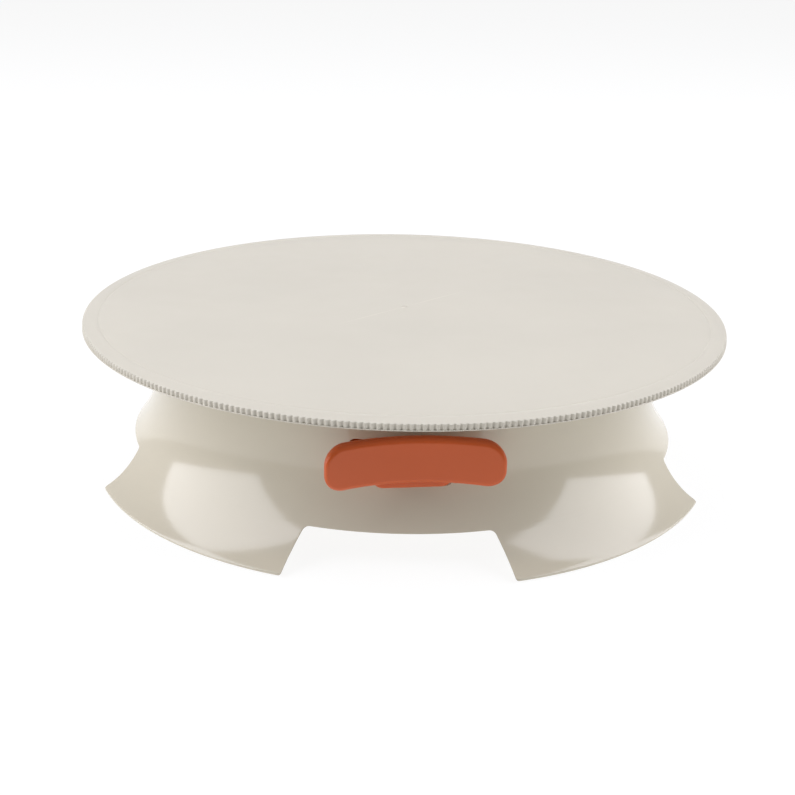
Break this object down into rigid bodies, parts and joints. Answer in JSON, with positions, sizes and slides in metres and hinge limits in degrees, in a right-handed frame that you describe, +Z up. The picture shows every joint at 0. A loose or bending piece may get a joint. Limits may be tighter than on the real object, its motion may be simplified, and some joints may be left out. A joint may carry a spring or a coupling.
{
  "type": "lazy susan turntable",
  "caption": "Round plate with a ribbed rim turning on a ball race over a flared four-footed base, with an orange finger lever that swings to brake the plate.",
  "frame": {"origin": "on the floor, on the turning axis of the plate", "axes": "+Z up along the turning axis; -Y points to the front, where the brake lever is; +X is the viewer's right"},
  "size_m": [0.28, 0.28, 0.067],
  "materials": {
    "ivory_plastic": "moulded warm white plastic, glossy",
    "plate_plastic": "moulded warm white plastic, satin top face",
    "orange_plastic": "moulded orange plastic, semi-gloss",
    "grey_plastic": "glass-filled grey nylon",
    "nylon": "natural nylon",
    "plated_steel": "zinc plated",
    "ball_steel": "polished",
    "bush_brass": "turned",
    "foot_rubber": "moulded",
    "shoe_rubber": "moulded"
  },
  "bodies": {
    "base": {"base_shell": "ivory_plastic", "centre_bush": "bush_brass", "lower_race_ring": "plated_steel", "lever_guide_plate": "ivory_plastic", "guide_plate_screws": "plated_steel", "lever_pivot_pin": "plated_steel", "lever_friction_washer": "plated_steel", "rubber_foot_front_left": "foot_rubber", "rubber_foot_front_right": "foot_rubber", "rubber_foot_rear_left": "foot_rubber", "rubber_foot_rear_right": "foot_rubber"},
    "turntable": {"turntable_plate": "plate_plastic", "spindle": "plated_steel", "spindle_screws": "plated_steel", "upper_race_ring": "plated_steel", "brake_drum": "grey_plastic", "brake_drum_screws": "plated_steel", "retaining_washer": "plated_steel", "retaining_screw": "plated_steel"},
    "ball_cage": {"ball_cage": "nylon", "bearing_balls": "ball_steel"},
    "lever": {"brake_lever": "orange_plastic", "shoe_carrier": "grey_plastic", "brake_shoe": "shoe_rubber", "shoe_screw": "plated_steel"}
  },
  "joints": [
    {"name": "turntable_spin", "type": "hinge", "parent": "base", "child": "turntable", "pos_m": [0, 0, 0.05], "axis": [0, 0, 1], "continuous": true},
    {"name": "cage_roll", "type": "hinge", "parent": "base", "child": "ball_cage", "pos_m": [0, 0, 0.05], "axis": [0, 0, 1], "continuous": true},
    {"name": "lever_swing", "type": "hinge", "parent": "base", "child": "lever", "pos_m": [0, -0.082, 0.042], "axis": [0, 0, -1], "range_deg": [0, 15]}
  ],
  "couplings": [
    {"joint": "cage_roll", "follows": "turntable_spin", "ratio": 0.5}
  ]
}
